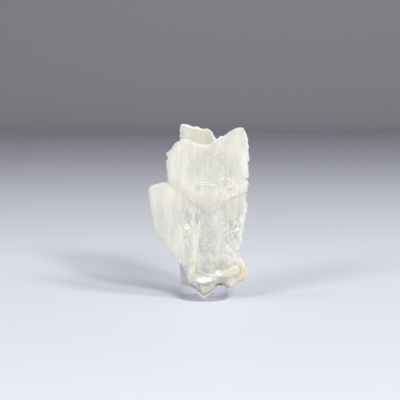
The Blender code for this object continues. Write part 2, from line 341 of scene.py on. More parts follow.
# %% [markdown]
# ## Ragged rims
# A plate of selenite doesn't break along a clean line. Across its length it splinters into fine
# teeth, and along its length it parts in long straight runs. Each edge of an outline is therefore
# broken up by its direction, with short teeth where it lies across the stone.

# %% Break an outline's edges, in millimetres
SHORT_EDGE_SHARE, LEAST_MITRE = 0.45, 0.6
TOOTH_ACROSS, TOOTH_ALONG = 0.7, 1.1
RAGGED_ACROSS, RAGGED_ALONG = 0.40, 0.38
TOOTH_SHIFT = 0.3
WANDER_ACROSS, WANDER_UP = 0.45, 0.2


def inset(outline, by):
    """The outline moved inwards, each corner along its mitre, and less where its edges are short."""
    corners = [Vector(point) for point in outline]
    turn = sum(a.x * b.y - b.x * a.y for a, b in zip(corners, corners[1:] + corners[:1]))
    side = math.copysign(1.0, turn)
    moved = []
    for index, corner in enumerate(corners):
        before = corner - corners[index - 1]
        after = corners[(index + 1) % len(corners)] - corner
        most = SHORT_EDGE_SHARE * min(before.length, after.length)
        mitre = (before.normalized() + after.normalized()).orthogonal() * side
        reach = min(by / max(mitre.length / 2, LEAST_MITRE), most)
        moved.append(corner + mitre.normalized() * reach)
    return moved


def breaks(outline, chance):
    """For each edge, the places along it where it is broken and how far each is pushed off it."""
    found = []
    for index, point in enumerate(outline):
        edge = Vector(outline[(index + 1) % len(outline)]) - Vector(point)
        across = abs(edge.x) / edge.length
        pitch = TOOTH_ACROSS * across + TOOTH_ALONG * (1 - across)
        count = max(1, round(edge.length / pitch))
        reach = RAGGED_ACROSS * across + RAGGED_ALONG * (1 - across)
        found.append([
            ((step + chance.uniform(-TOOTH_SHIFT, TOOTH_SHIFT)) / count, chance.uniform(-reach, reach))
            for step in range(1, count)
        ])
    return found


def broken(ring, places, keep, stray, leaf):
    """A ring with every edge broken at the given places, and strayed as one leaf strays."""
    points = []
    for index, point in enumerate(ring):
        start = Vector(point)
        edge = Vector(ring[(index + 1) % len(ring)]) - start
        aside = edge.orthogonal().normalized()
        for t, off in [(0.0, 0.0), *places[index]]:
            spot = start + edge * t
            wander = noise.noise(Vector((spot.x * WANDER_ACROSS, spot.y * WANDER_UP, leaf)))
            points.append(spot + aside * (off * keep + wander * stray))
    return points


print("the upper plate breaks at", sum(map(len, breaks(UPPER, random.Random(0)))), "places")

# %% [markdown]
# A plate is itself a pile of leaves, and each ends a little inside or outside the next one. So the
# block is lofted leaf by leaf, like the edge of an old book, and its first and last leaves step
# back to make a chipped slope.

# %% A block of leaves, in millimetres
LEAF_THIN, LEAF_THICK = 0.25, 0.60
PROUD = 0.15
FRONT_SLOPE, BACK_SLOPE = 2.4, 1.3
SLOPE_CURVE, STEP_BACK = 1.2, 1.5
LEAF_STRAY, WIDEST_RIM = 0.55, 0.8
SEED_STEP = 0.61


def leaf_depths(front, back, chance):
    """Depths from the front to the back of a plate where one leaf ends and the next begins."""
    depths = [front - PROUD]
    while back + PROUD - depths[-1] > 2 * LEAF_THICK:
        depths.append(depths[-1] + chance.uniform(LEAF_THIN, LEAF_THICK))
    return [*depths, back + PROUD]


def leaf_block(name, outline, front, back, rim, seed):
    """A plate's block, with every leaf a ring of its own."""
    chance = random.Random(seed)
    places = breaks(outline, chance)
    depths = leaf_depths(front, back, chance)
    stray = LEAF_STRAY * min(rim, WIDEST_RIM)
    rings = []
    for leaf, (near, far) in enumerate(zip(depths, depths[1:])):
        middle = (near + far) / 2
        before, behind = (middle - front) / FRONT_SLOPE, (back - middle) / (BACK_SLOPE * rim)
        slope = max(0.0, 1 - min(before, behind)) ** SLOPE_CURVE
        narrowed = inset(outline, STEP_BACK * rim * slope)
        ring = broken(narrowed, places, 1.0 - slope / 2, stray, seed + SEED_STEP * leaf)
        rings += [(near, ring), (far, ring)]
    return through_rings(name, [[(x, y, z) for x, z in ring] for y, ring in rings])


# %% [markdown]
# ## Ledges along the stone
# Both broad faces of every plate are ribbed along the stone's length, where single leaves end one
# beside the other. That is a rule, so a Geometry Nodes tree makes it: a slab is parted into strips
# of uneven width and each strip into a few cells, each cell gets a height and a tilt of its own,
# and a Boolean keeps what lies inside the plate's block.

# %% The ledge tree
# Shares of a strip's width or a cell's length: how far an edge is shifted, and how wide its riser is.
EDGE_SHIFT, EDGE_RISER = 0.38, 0.12
END_SHIFT, END_RISER = 0.42, 0.05
# Shares of the rise: most strips lie low, and a cell parts or tilts from its strip by this much.
LOW_CURVE, CELL_PART, CELL_TILT = 1.6, 0.45, 0.3
KEY_STEP = 64.0
BROAD, NEAR_FACE = 0.5, 1.1
LENGTHS = ("Left", "Right", "Front", "Back", "Low", "High", "Pitch", "Rise", "Cell")


def ledge_tree():
    """The tree that cuts a block's two broad faces into ledges, and gives faces and rim a finish."""
    group = bpy.data.node_groups.new("ledges", "GeometryNodeTree")
    tree = Tree(group)
    face = group.interface
    sockets = {"Block": "Geometry", **dict.fromkeys(LENGTHS, "Float"), "Seed": "Int",
               "Face finish": "Material", "Rim finish": "Material"}
    for name, kind in sockets.items():
        face.new_socket(name, in_out="INPUT", socket_type=f"NodeSocket{kind}")
    face.new_socket("Plate", in_out="OUTPUT", socket_type="NodeSocketGeometry")
    entry = group.nodes.new("NodeGroupInput")
    given = {socket.name: Wire(tree, socket) for socket in entry.outputs if socket.name}
    left, front, back, low = given["Left"], given["Front"], given["Back"], given["Low"]
    strips = ((given["Right"] - left) / given["Pitch"]).floor() + 1.0
    cells = ((given["High"] - low) / given["Cell"]).floor() + 1.0
    columns, rows = strips * 2.0, cells * 2.0
    slab = tree.node(
        "GeometryNodeMeshCube", {},
        {"Size": (1.0, 1.0, 1.0), "Vertices X": columns, "Vertices Y": 2, "Vertices Z": rows},
    )
    across, deep, up = tree.node("GeometryNodeInputPosition").parts()
    # Grid points are counted by their place. The quarter keeps rounding from losing one.
    column = ((across + 0.5) * (columns - 1.0) + 0.25).floor()
    row = ((up + 0.5) * (rows - 1.0) + 0.25).floor()
    strip, cell = (column / 2.0).floor(), (row / 2.0).floor()
    second, upper = column - strip * 2.0, row - cell * 2.0
    behind = deep.maths("GREATER_THAN", deep, 0.0)

    def chance(low, high, key, salt):
        return tree.node(
            "FunctionNodeRandomValue", {"data_type": "FLOAT"},
            {"Min": low, "Max": high, "ID": key, "Seed": given["Seed"] + salt}, output=1,
        )

    edge = strip + second
    shift = chance(-EDGE_SHIFT, EDGE_SHIFT, edge, 1.0)
    along = left + (edge + shift - second * EDGE_RISER) * given["Pitch"]
    line = cell + upper
    step = chance(-END_SHIFT, END_SHIFT, strip * KEY_STEP + line, 2.0)
    top = low + (line + step - upper * END_RISER) * given["Cell"]
    key = strip * 2.0 + behind
    whole = chance(0.0, 1.0, key, 3.0) ** LOW_CURVE
    part = chance(-CELL_PART, CELL_PART, key * KEY_STEP + cell, 4.0)
    tilt = chance(-CELL_TILT, CELL_TILT, key, 5.0) * second
    rise = (whole + part + tilt).most(0.0).least(1.0) * given["Rise"]
    depth = front + rise + behind * (back - front - rise * 2.0)
    where = tree.node("ShaderNodeCombineXYZ", {}, {0: along, 1: depth, 2: top})
    ribbed = tree.node("GeometryNodeSetPosition", {}, {"Geometry": slab, "Position": where})
    cut = tree.add("GeometryNodeMeshBoolean", {"operation": "INTERSECT", "solver": "MANIFOLD"})
    tree.made.links.new(given["Block"].socket, cut.inputs["Mesh 2"])
    tree.made.links.new(ribbed.socket, cut.inputs["Mesh 2"])
    single = tree.node("GeometryNodeRealizeInstances", {}, {0: Wire(tree, cut.outputs["Mesh"])})

    # A face is broad if it looks forwards or backwards and lies no deeper than a ledge can.
    ahead = tree.node("GeometryNodeInputNormal").parts()[1]
    depth = tree.node("GeometryNodeInputPosition").parts()[1]
    turned = ahead.maths("ABSOLUTE", ahead)
    from_face = (depth - front).least(back - depth)
    shallow = from_face.maths("LESS_THAN", from_face, given["Rise"] * NEAR_FACE)
    broad = turned.maths("GREATER_THAN", turned, BROAD) * shallow
    frosted = tree.node(
        "GeometryNodeSetMaterial", {}, {"Geometry": single, "Material": given["Rim finish"]})
    done = tree.node(
        "GeometryNodeSetMaterial", {},
        {"Geometry": frosted, "Selection": broad, "Material": given["Face finish"]})
    leave = group.nodes.new("NodeGroupOutput")
    tree.feed(leave.inputs["Plate"], done)
    return group


LEDGES = ledge_tree()
print("ledge tree", len(LEDGES.nodes), "nodes")

# %% A plate: its block, ribbed by the tree
CELL = 7.0
BESIDE, BEYOND = 2.0, 4.0


def plate(name, outline, front, back, rim, pitch, rise, seed, faces, rims):
    """One plate of the stone, its faces and rims with a finish each."""
    block = leaf_block(name, outline, front, back, rim, seed)
    across = [x for x, _ in outline]
    up = [z for _, z in outline]
    shape_by(block, "NODES", {"node_group": LEDGES}, {
        "Left": (min(across) - BESIDE) * MM, "Right": (max(across) + BESIDE) * MM,
        "Front": front * MM, "Back": back * MM,
        "Low": (min(up) - BEYOND) * MM, "High": (max(up) + BEYOND) * MM,
        "Pitch": pitch * MM, "Rise": rise * MM, "Cell": CELL * MM, "Seed": seed,
        "Face finish": faces, "Rim finish": rims,
    })
    return block


# %% [markdown]
# ## Materials
# Every finish starts from an empty tree and ends in a surface, and for what is clear also in how
# much light its inside soaks up.

# %% Opening and closing a material
def bare_material(name):
    """A material whose node tree holds nothing but its output."""
    made = bpy.data.materials.new(name)
    made.use_nodes = True
    made.node_tree.nodes.remove(made.node_tree.nodes["Principled BSDF"])
    return made


def wear(tree, surface, soaked=None, density=0.0):
    """Joins a surface, and what a metre of the inside soaks up, to the material's output."""
    out = tree.made.nodes["Material Output"]
    tree.feed(out.inputs["Surface"], surface)
    if soaked:
        soak = tree.node("ShaderNodeVolumeAbsorption", {}, {"Color": soaked, "Density": density})
        tree.feed(out.inputs["Volume"], soak)


# %% [markdown]
# ## How selenite looks
# Clear selenite is as see-through as glass, but a slab of it is full of parted leaves, and each
# parting throws light back. So two shaders are mixed by a mask: a milky one, in which light wanders
# under the surface, and a clear one, through which it passes and is bent. Both read Object
# coordinates, so the pattern goes through the whole slab, as the partings do.

# %% Shader maths for the stone
# The stone leans back on its rest, and the middle of its plates meets the floor this far in front
# of the rod's axis.
LEAN = math.radians(4.0)
SEAT_Y = -6.3 * MM
WANDER_DETAIL = 3.0


class Stone(Tree):
    """A shader tree with the patterns that the selenite finish is made of, in millimetres."""

    def __init__(self, made):
        super().__init__(made)
        here = self.node("ShaderNodeTexCoord", output="Object")
        self.spot = self.vector("SCALE", {0: here, "Scale": 1 / MM})

    def up(self):
        """How many millimetres a point is above the floor."""
        return self.spot.parts()[2]

    def depth(self):
        """How many millimetres behind the middle of its plates a point lies, lean or no lean."""
        return self.spot.parts()[1] - self.up() * math.tan(LEAN) - SEAT_Y / MM

    def vector(self, operation, sockets, output=0):
        return self.node("ShaderNodeVectorMath", {"operation": operation}, sockets, output)

    def grain(self, across, along, detail, rough, shift):
        """Noise from 0 to 1 whose blots are so many millimetres wide and long."""
        scale = (1 / across, 1 / across, 1 / along)
        where = self.vector("MULTIPLY_ADD", {0: self.spot, 1: scale, 2: (shift, shift, shift)})
        return self.node(
            "ShaderNodeTexNoise", {"noise_dimensions": "3D"},
            {"Vector": where, "Scale": 1.0, "Detail": detail, "Roughness": rough},
        )

    def ease(self, value, start, end, low=0.0, high=1.0):
        """From low to high, softly, while the value goes from start to end."""
        return self.node(
            "ShaderNodeMapRange", {"interpolation_type": "SMOOTHSTEP"},
            {"Value": value, "From Min": start, "From Max": end, "To Min": low, "To Max": high},
        )

    def blend(self, share, first, second):
        sockets = {0: share, 6: first, 7: second}
        return self.node("ShaderNodeMix", {"data_type": "RGBA"}, sockets, output=2)

    def flat_spot(self, stray, size):
        """Where a point is across and up the stone, strayed a little so that drawn marks wander."""
        where = self.vector("SCALE", {0: self.spot, "Scale": 1 / size})
        sockets = {"Vector": where, "Scale": 1.0, "Detail": WANDER_DETAIL}
        wander = self.node("ShaderNodeTexNoise", {}, sockets, output=1)
        push = self.vector("SUBTRACT", {0: wander, 1: (0.5, 0.5, 0.5)})
        moved = self.vector("MULTIPLY_ADD", {0: push, 1: (2 * stray,) * 3, 2: self.spot})
        return self.vector("MULTIPLY", {0: moved, 1: (1.0, 0.0, 1.0)})

    def stroke(self, spot, points, width, soft):
        """1 on the line through the points, falling to 0 half a width away, softly."""
        gaps = []
        for (x0, z0), (x1, z1) in zip(points, points[1:]):
            along = Vector((x1 - x0, 0.0, z1 - z0))
            unit = along / along.length_squared
            from_start = self.vector("SUBTRACT", {0: spot, 1: (x0, 0.0, z0)})
            share = self.vector("DOT_PRODUCT", {0: from_start, 1: unit}, "Value")
            share = self.node("ShaderNodeClamp", {}, {"Value": share})
            foot = self.vector("SCALE", {0: tuple(along), "Scale": share})
            gaps.append(self.vector("DISTANCE", {0: from_start, 1: foot}, "Value"))
        return self.ease(reduce(Wire.least, gaps), width / 2, width / 2 * (1 - soft))

    def patch(self, spot, x, z, wide, high, soft=0.5):
        """1 inside an upright ellipse of this width and height, falling to 0 at its edge."""
        off = self.vector("SUBTRACT", {0: spot, 1: (x, 0.0, z)})
        scaled = self.vector("MULTIPLY", {0: off, 1: (2 / wide, 0.0, 2 / high)})
        return self.ease(self.vector("LENGTH", {0: scaled}, "Value"), 1.0, 1.0 - soft)

    def patches(self, spot, rows):
        return any_of([self.patch(spot, *oval) * strength for *oval, strength in rows])

    def strokes(self, spot, rows, soft):
        return any_of([self.stroke(spot, *line, soft) * strength for *line, strength in rows])


def any_of(masks):
    """The strongest of several masks at each point."""
    return reduce(Wire.most, masks)


# %% [markdown]
# ### Stains
# Iron has stained the stone where water could creep in: under the edge of the upper plate, on the
# band and the ridge below it, and on the lump. Each stain is a stroke or an upright oval, in
# millimetres across the stone and up from the floor, and noise tears its edge later.

# %% Stains
EDGE_STAIN, EDGE_WIDTH = [
    (-12.6, 58), (-10.3, 55.8), (-7.2, 53.4), (-3.4, 51), (-0.3, 48.9), (2, 47.9), (5.5, 49.3),
    (8.9, 52), (10.8, 54),
], 5.2
# A fainter stain lies this far above it.
ABOVE_EDGE, ABOVE_WIDTH = 1.8, 4
EDGE_ENDS, ENDS_WIDTH = [
    [(-19.2, 62.3), (-15.7, 60.7), (-12.6, 58.4)],
    [(10.4, 53.6), (17.2, 56.6), (22.3, 57.2)],
    [(-27, 41.5), (-23.6, 34.2), (-19.3, 28.4), (-15.9, 23.4)],
], 2.4
# Brown lines follow the V, just inside the plate's edge: points, width, strength.
EDGE_LINES = [
    ([(-19.2, 63), (-17.1, 62.3), (-15.1, 61.3)], 1.4, 0.65),
    ([(-14.6, 60.8), (-12.2, 60)], 3, 0.3),
    ([(-10.9, 58), (-7.3, 54.7), (-3.7, 52.2), (-0.1, 50), (2.9, 49.4), (6, 50.5), (8.1, 52.3)], 2, 0.62),
    ([
        (-8.9, 58.1), (-6.8, 55.9), (-2.2, 52.9), (0.9, 51.6), (4, 51.9), (7.1, 53.9), (9.1, 54.9),
    ], 1.2, 0.45),
]
BAND_STAIN, BAND_WIDTH = [(0.4, 28.3), (2, 24.7), (10.9, 16.3)], 2.8
RIDGE_STAIN, RIDGE_WIDTH = [(-3, 38.5), (-4.6, 27), (-6.7, 15)], 3.6
# Ovals: across, up, width, height, strength.
WARM_PATCHES = [
    (18.8, 12, 12, 20, 0.63), (19.5, 11.5, 7, 14, 0.8), (13.5, 13.5, 9, 6, 0.5),
    (9, 7, 18, 5, 0.35), (1, 5, 7, 6, 0.35),
]
BROWN_SPOTS = [(-0.1, 45.6, 2.2, 2, 0.9), (-22.1, 32.5, 2.6, 2, 1), (12.2, 30.2, 3.4, 2.8, 0.35)]
print(len(EDGE_LINES), "brown lines,", len(BROWN_SPOTS), "brown spots")

# %% [markdown]
# ### Windows, white blots, cracks and painted highlights
# Where the leaves still lie tight, the stone is a clear window. Where they have parted, the air
# between them is white: in mottled places, in strong blots, and in cracks straight across. Some of
# these white lines and blots are painted highlights instead: ledges lit from above, glints on the
# foot and the notch, and the lit underside of the foot.

# %% Windows, blots, cracks and painted highlights
# Cracks, and painted highlights where ledges are lit from above: points, width, strength.
CRACKS_AND_LIT_LEDGES = [
    ([(-4.5, 62.1), (4.3, 61.9)], 0.40, 0.7), ([(-1.9, 60.8), (6.6, 60.6)], 0.40, 0.7),
    ([(-4.8, 63.8), (2, 63.6)], 0.35, 0.45), ([(4.4, 76), (6.4, 76)], 0.45, 0.5),
    ([(9, 63.8), (10.3, 63.7)], 0.6, 0.8), ([(12, 63.5), (13.6, 63.4)], 0.7, 0.8),
    ([(16.4, 41.2), (18.9, 39), (20.2, 39.4)], 0.5, 0.7),
    ([(13.2, 35.6), (15.8, 36.8), (17, 36.2)], 0.5, 0.7), ([(8.3, 40.6), (10, 40.4)], 0.5, 0.7),
    ([(-9.8, 55.1), (-6, 52.4), (-2.2, 50.4)], 0.4, 0.5), ([(4.2, 47.2), (8, 49.6)], 0.35, 0.5),
    ([(14.4, 55.6), (16.2, 54.9), (17.2, 52.6)], 0.5, 0.6),
]
# Ovals: across, up, width, height, strength. First those where the stone is mottled.
BUSY = [
    (-8.2, 38, 6.5, 34, 0.9), (2, 33, 13, 30, 0.3), (15, 38, 12, 16, 0.85), (12, 58, 22, 12, 0.5),
    (14, 26, 12, 18, 0.7), (1, 10.5, 14, 6, 0.5), (1.5, 4.4, 8, 6, 1), (8, 72, 20, 22, 0.3),
]
WINDOWS = [
    (-1, 15.4, 12, 5, 1), (1.8, 28, 13, 40, 1), (-8.3, 34, 6, 34, 0.35), (4, 68, 31, 28, 0.42),
    (8.5, 69, 17, 19, 0.4), (-8.6, 44, 3.4, 5, 0.8), (-8.4, 34.5, 3.4, 5, 0.8),
    (-8.2, 25, 3.2, 7, 0.6), (-3.6, 42.8, 3.4, 6, 0.9), (-3.2, 58.8, 5.6, 5, 0.6),
    (13, 66.6, 2.6, 2.6, 0.55), (3.5, 65.7, 2.2, 2.4, 0.45), (13.2, 58.7, 5, 2.6, 0.45),
    (15.2, 39.6, 8, 9, 0.55), (6.5, 19, 7.5, 9, 1),
]
# White blots, some of them painted light: a glint on the foot, a glint on the notch, and the lit
# underside of the foot.
WHITE_BLOTS_AND_HIGHLIGHTS = [
    (-8.8, 38.8, 4, 4.2, 0.5), (8, 14.7, 5.2, 3, 0.7), (19.6, 42.6, 2.6, 5, 0.35),
    (17, 37.6, 4.6, 1.8, 0.35), (17, 55.6, 2, 2.6, 0.35), (12.5, 27.5, 4, 6, 0.3),
    (1.8, 10.9, 14, 4.6, 0.85), (12, 12.4, 9, 3, 0.4),
]
# A little less clear than around it:
CLOUDED = [(1.5, 19.2, 14, 5, 0.2), (20.6, 72, 4.5, 20, 0.16), (-13, 77.5, 12, 9, 0.06)]
print(len(CRACKS_AND_LIT_LEDGES), "cracks,", len(WINDOWS), "windows")

# %% [markdown]
# ### Colours of the stone
# The milk in the stone is cream, cooler in its veils and dusky in the windows low down. A breath of
# iron makes it rosy at the left and blushing near the upper edges. Colours are linear.

# %% Colours
CREAM = (0.957, 0.903, 0.798, 1)
COOL = (0.878, 0.894, 0.878, 1)
DUSKY = (0.87, 0.86, 0.77, 1)
BLUSH = (0.985, 0.912, 0.825, 1)
ROSY = (0.93, 0.888, 0.83, 1)
TAN = (0.75, 0.675, 0.515, 1)
OCHRE = (0.75, 0.665, 0.475, 1)
BROWN = (0.62, 0.50, 0.34, 1)
# White of parted leaves and frosted rims, also used for painted light: highlights and glows.
WHITE_AND_PAINTED_LIGHT = (0.97, 0.965, 0.93, 1)
GREY = (0.50, 0.50, 0.45, 1)
GLASS = (0.97, 0.975, 0.95, 1)
SOAKED = (0.88, 0.88, 0.80, 1)
# Ovals: across, up, width, height, strength.
ROSY_PATCHES = [(-21, 51, 15, 20, 0.8), (13.5, 24, 8, 10, 0.4)]
BLUSH_PATCHES = [
    (-14.5, 72, 14, 26, 0.8), (19, 80, 9, 16, 0.4), (21.5, 66, 3.5, 24, 0.5),
    (16, 57.5, 14, 5, 0.4),
]
# Painted light on the tab at the top, which glows when lit from above and behind: across, up, width,
# height, strength.
PAINTED_TAB_GLOW = [(-10.4, 88, 8, 10, 0.55)]
print(len(ROSY_PATCHES), "rosy patches and", len(BLUSH_PATCHES), "blushing ones")

# %% [markdown]
# ### Patterns through the stone
# Parted leaves show as streaks, so most of the noise is drawn out along the stone: fibres, finer
# hairs and broad veils. Bars lie across it, and clots and flecks are about as wide as long. Colour,
# clearness and relief all read the same ones.

# %% Patterns
SELENITE = bare_material("selenite")
tree, nodes = Stone(SELENITE.node_tree), SELENITE.node_tree.nodes
# Width and length of the blots (mm), detail, roughness, and a shift that sets the noise apart.
fibres = tree.grain(0.6, 13.0, 4.0, 0.6, 0.0)
hairs = tree.grain(0.18, 4.0, 3.0, 0.6, 3.1)
bars = tree.grain(6.0, 0.4, 3.0, 0.6, 9.4)
veils = tree.grain(3.4, 12.0, 4.0, 0.6, 7.7)
clots = tree.grain(1.1, 1.7, 5.0, 0.7, 1.9)
flecks = tree.grain(0.9, 0.7, 3.0, 0.6, 5.3)
# The same, swinging from -1 to 1.
mottle = tree.ease(clots, 0.38, 0.62, -1.0, 1.0)
rungs = tree.ease(bars, 0.38, 0.62, -1.0, 1.0)
streaks = tree.ease(fibres, 0.35, 0.65, -1.0, 1.0)
threads = tree.ease(hairs, 0.35, 0.65, -1.0, 1.0)
cloud = tree.ease(veils, 0.35, 0.65, -1.0, 1.0)
# How far a drawn mark strays from its points, and how large its wandering is (mm).
close, loose = tree.flat_spot(0.6, 2.2), tree.flat_spot(1.5, 3.5)
crisp, torn = tree.flat_spot(0.12, 1.0), tree.flat_spot(1.3, 2.0)
# The two marks that each face carries.
rim, stained = tree.mark("rim"), tree.mark("stained")
print("nodes", len(nodes))

# %% [markdown]
# ### Where the marks fall
# A mark is drawn by where it lies across and up the stone, so it would show again, mirrored, on
# the back. Cracks, blots and lines therefore fade out with depth, and most stains to a third.

# %% Draw the stains
FADED_BY = 1.5

front = tree.ease(tree.depth(), FADED_BY, 0.0)
stain = tree.stroke(close, EDGE_STAIN, EDGE_WIDTH, 0.9) * tree.ease(clots, 0.38, 0.60, 0.15, 0.35)
ends = any_of([tree.stroke(close, points, ENDS_WIDTH, 0.9) for points in EDGE_ENDS])
stain = stain.most(ends * tree.ease(clots, 0.4, 0.6, 0.1, 0.6))
over = tree.stroke(loose, [(x, z + ABOVE_EDGE) for x, z in EDGE_STAIN], ABOVE_WIDTH, 1.0)
stain = stain.most(over * tree.ease(veils, 0.4, 0.6, 0.1, 0.4))
stain = stain.most(tree.stroke(close, BAND_STAIN, BAND_WIDTH, 0.5) * 0.6)
stain = stain.most(tree.stroke(close, RIDGE_STAIN, RIDGE_WIDTH, 0.6) * 0.35)
stain = stain * tree.ease(flecks, 0.25, 0.6, 0.5, 1.0) * (front * 0.7 + 0.3)
stain = (stain + stained * tree.ease(veils, 0.3, 0.75, 0.2, 0.42)).least(1.0)
stain = (stain + tree.patches(loose, WARM_PATCHES)).least(1.0)
ochre = tree.strokes(torn, EDGE_LINES, 0.7) * tree.ease(clots, 0.34, 0.54, 0.25, 1.0) * front
brown = tree.patches(close, BROWN_SPOTS) * tree.ease(flecks, 0.3, 0.6)
print("nodes", len(nodes))

# %% Draw cracks, blots, painted highlights and windows
cracks_and_highlights = tree.strokes(crisp, CRACKS_AND_LIT_LEDGES, 0.9) * tree.ease(clots, 0.4, 0.55, 0.25, 0.9)
blots_and_highlights = tree.patches(close, WHITE_BLOTS_AND_HIGHLIGHTS) * tree.ease(clots, 0.30, 0.56)
# Partly white partings, partly painted highlights, painted white over the colour and clouding the stone.
white_and_highlights = cracks_and_highlights.most(blots_and_highlights) * front
busy = tree.patches(loose, BUSY)
stir = busy * 0.7 + 0.3
windows = tree.patches(loose, WINDOWS) * tree.ease(flecks, 0.2, 0.55, 0.5, 1.0)
print("nodes", len(nodes))

# %% [markdown]
# ### Colour and clearness
# Colours are laid one over another, from the ground to white and a few grey lines. The white is
# partly that of parted leaves in torn rims, cracks and blots, and partly painted light: highlights on
# lit ledges and glints, and a painted glow on the rims and the tab. How clear a point is starts from
# the face it lies on, and cracks, painted highlights and stains cloud it.

# %% Colour
tone = tree.blend(tree.ease(veils, 0.4, 0.7) * 0.35, CREAM, COOL)
tone = tree.blend(tree.patches(loose, ROSY_PATCHES), tone, ROSY)
tone = tree.blend(tree.patches(loose, BLUSH_PATCHES), tone, BLUSH)
low_down = tree.blend(tree.ease(tree.up(), 52.0, 46.0), COOL, DUSKY)
for mask, laid in ((windows * 0.7, low_down), (stain, TAN), (ochre, OCHRE), (brown, BROWN)):
    tone = tree.blend(mask, tone, laid)
# Pale mottling, plus the painted glow on the tab.
mottle_and_tab_glow = (mottle * busy).most(0.0) * 0.18 + tree.patches(loose, PAINTED_TAB_GLOW)
# The white of frosted torn rims, with a painted glow of the light that leaks out of the thin edges.
rim_frost_and_glow = rim * tree.ease(veils, 0.35, 0.65, 0.3, 0.85)
tone = tree.blend((white_and_highlights + mottle_and_tab_glow + rim_frost_and_glow * (1.0 - stain)).least(1.0), tone, WHITE_AND_PAINTED_LIGHT)
lines = (threads * 0.4 + rungs * 0.1 + streaks * 0.4).most(0.0) * stir * 0.08
tone = tree.blend(lines, tone, GREY)
print("nodes", len(nodes))

# %% Clearness
CLEAR_FACE, CLEAR_BACK, CLEAR_RIM = 0.50, 0.62, 0.38
CLEARER_BELOW, CLEARER_IN_WINDOWS, MOST_CLEAR = 0.15, 0.23, 0.9

share = 1.0 + cloud * 0.09 + streaks * stir * 0.09 + rungs * 0.02 + threads * stir * 0.04
share = share - mottle * busy * 0.30
below = tree.ease(tree.up(), 60.0, 46.0, 0.0, CLEARER_BELOW)
clear = CLEAR_FACE + stained * (CLEAR_BACK - CLEAR_FACE)
clear = clear + rim * (CLEAR_RIM - tree.ease(veils, 0.4, 0.6, 0.0, 0.12) - clear)
clear = (clear + below * (1.0 - rim)) * share + windows * CLEARER_IN_WINDOWS
clear = clear * (1.0 - white_and_highlights) * (1.0 - stain * 0.5) * (1.0 - tree.patches(loose, CLOUDED))
clear = clear.most(0.0).least(MOST_CLEAR)
print("nodes", len(nodes))

# %% [markdown]
# ### The finish
# Broad faces are glassy and mostly clear. Rims are frosted, because there each leaf shows its torn
# edge, and the back plates are a little stained all over. Light has to leave by the material that it
# came in by, so one covers the whole stone, and two marks on the faces tell it where it is.

# %% Selenite finish
SELENITE_IOR = 1.52
RELIEF_STRENGTH, RELIEF_HEIGHT = 0.25, 0.12
# How far light wanders in the milk (mm), less in green and blue than in red.
REACH, REACH_BY_COLOUR = 2.4, (1.0, 0.95, 0.82)
SOAK_DENSITY = 40.0

height = fibres * 0.4 + hairs * 0.15 + clots * busy * 0.3 + flecks * (0.1 + rim * 0.3)
relief = tree.node("ShaderNodeBump", {}, {
    "Height": height, "Strength": RELIEF_STRENGTH, "Distance": RELIEF_HEIGHT * MM})
milky = tree.node("ShaderNodeBsdfPrincipled", {}, {
    "Base Color": tone, "Roughness": tree.ease(flecks, 0.3, 0.7, 0.25, 0.45) + rim * 0.15,
    "Subsurface Weight": 1.0, "Subsurface Radius": REACH_BY_COLOUR, "Subsurface Scale": REACH * MM,
    "IOR": SELENITE_IOR, "Normal": relief})
glassy = tree.node("ShaderNodeBsdfPrincipled", {}, {
    "Base Color": GLASS, "Roughness": tree.ease(fibres, 0.3, 0.7, 0.04, 0.22) + rim * 0.1,
    "IOR": SELENITE_IOR, "Transmission Weight": 1.0, "Normal": relief})
wear(tree, tree.node("ShaderNodeMixShader", {}, {0: clear, 1: milky, 2: glassy}), SOAKED, SOAK_DENSITY)
print("selenite nodes", len(nodes))

# %% [markdown]
# ## Joining the plates
# In a clear stone light would be bent again at every skin left inside, so the plates are joined into
# one. Meanwhile each face carries its place as a bare material, which then becomes the two marks.

# %% Join the plates
FACE, RIM, BACK_FACE, BACK_RIM = (
    bpy.data.materials.new(name) for name in ("face", "rim", "back_face", "back_rim"))


def joined(name, things):
    """One closed mesh of them all, each face keeping its finish."""
    group = bpy.data.collections.new(name)
    for thing in things[1:]:
        group.objects.link(thing)
    whole = things[0]
    shape_by(whole, "BOOLEAN", {
        "operation": "UNION", "solver": "MANIFOLD", "operand_type": "COLLECTION",
        "collection": group, "material_mode": "TRANSFER"})
    whole.name = name
    for thing in things[1:]:
        discard(thing)
    bpy.data.collections.remove(group)
    return whole


plates = []
for i, (*shape, rusty) in enumerate(PLATES):
    finishes = (BACK_FACE, BACK_RIM) if rusty else (FACE, RIM)
    plates.append(plate(f"plate_{i}", *shape, *finishes))
print("plates", [len(made.data.polygons) for made in plates], "faces")

# %% [markdown]
# The leaves under the V are too thin for ledges. Each follows the plate's edge a little below it,
# wandering by itself, and its inner side ends out of sight in the stone.

# %% The leaves under the V
V_WANDER, V_WANDER_ACROSS, V_WANDER_APART, V_RAISED = 1.2, 0.33, 3.3, 0.1
V_TOOTH = 0.3
V_NARROWED, V_INWARDS = 0.96, 4.0


def v_leaf(index, drop, front, back, seed):
    """A leaf whose lower edge follows the V a little below it, wandering by itself."""
    chance = random.Random(seed)
    edge = []
    for (x0, z0), (x1, z1) in zip(V_EDGE, V_EDGE[1:]):
        for t in (0.0, 0.5):
            x, z = x0 + (x1 - x0) * t, z0 + (z1 - z0) * t
            sway = noise.noise(Vector((x * V_WANDER_ACROSS, index * V_WANDER_APART, 0.0))) - V_RAISED
            wander = V_WANDER * sway + chance.uniform(-V_TOOTH, V_TOOTH)
            edge.append((x, z - drop + wander))
    edge.append(V_EDGE[-1])
    inner = [(x * V_NARROWED, z + V_INWARDS) for x, z in reversed(V_EDGE)]
    rings = [[(x, y, z) for x, z in [*edge, *inner]] for y in (front, back)]
    leaf = through_rings(f"v_leaf_{index}", rings)
    leaf.data.materials.append(FACE)
    return leaf


